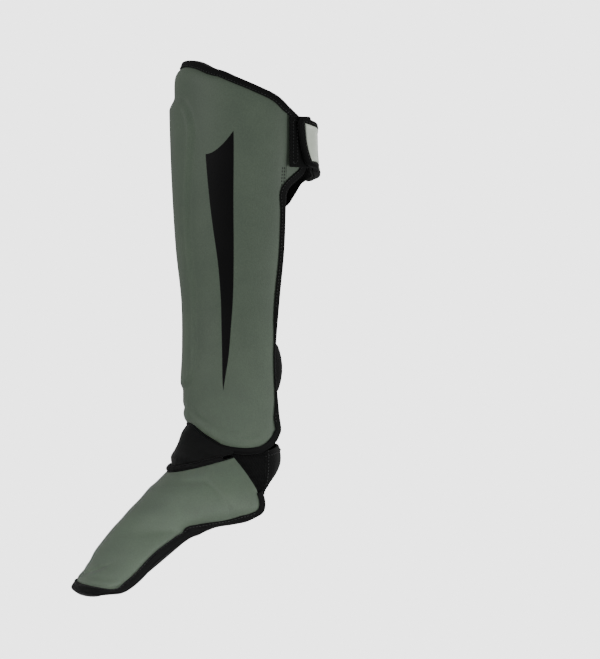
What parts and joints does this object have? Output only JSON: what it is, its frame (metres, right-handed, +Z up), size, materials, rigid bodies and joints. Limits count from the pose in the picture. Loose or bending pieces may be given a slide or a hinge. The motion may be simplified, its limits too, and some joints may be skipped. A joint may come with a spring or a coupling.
{
  "type": "kickboxing shin guard",
  "caption": "moulded foam shin and instep guard with raised strike bar, bound edges, ankle tongue and elastic closures, for the left leg",
  "frame": {"origin": "middle of the shin pad's inner face, where the shin bears on it", "axes": "+Z up along the shin, toes toward -Y, the wearer's left toward +X"},
  "size_m": [0.1492, 0.2484, 0.5238],
  "materials": {
    "green_leather": "matt grey-green synthetic leather with a fine grain",
    "black_binding": "black woven binding tape",
    "black_cloth": "black padded cloth",
    "black_elastic": "black ribbed elastic and hook-and-loop",
    "pale_patch": "pale moulded patch, bare"
  },
  "bodies": {
    "root": {"shin_pad": "green_leather", "wing_left": "green_leather", "wing_right": "green_leather", "foot_pad": "green_leather", "shin_binding": "black_binding", "foot_binding": "black_binding", "flap_piping": "black_binding", "tab_binding": "black_binding", "ankle_flap": "black_cloth", "upper_strap": "black_elastic", "strap_tab": "black_elastic", "lower_strap": "black_elastic", "gusset_left": "black_elastic", "gusset_right": "black_elastic", "heel_strap": "black_elastic", "sole_strap": "black_elastic", "tab_label": "pale_patch"}
  },
  "joints": []
}
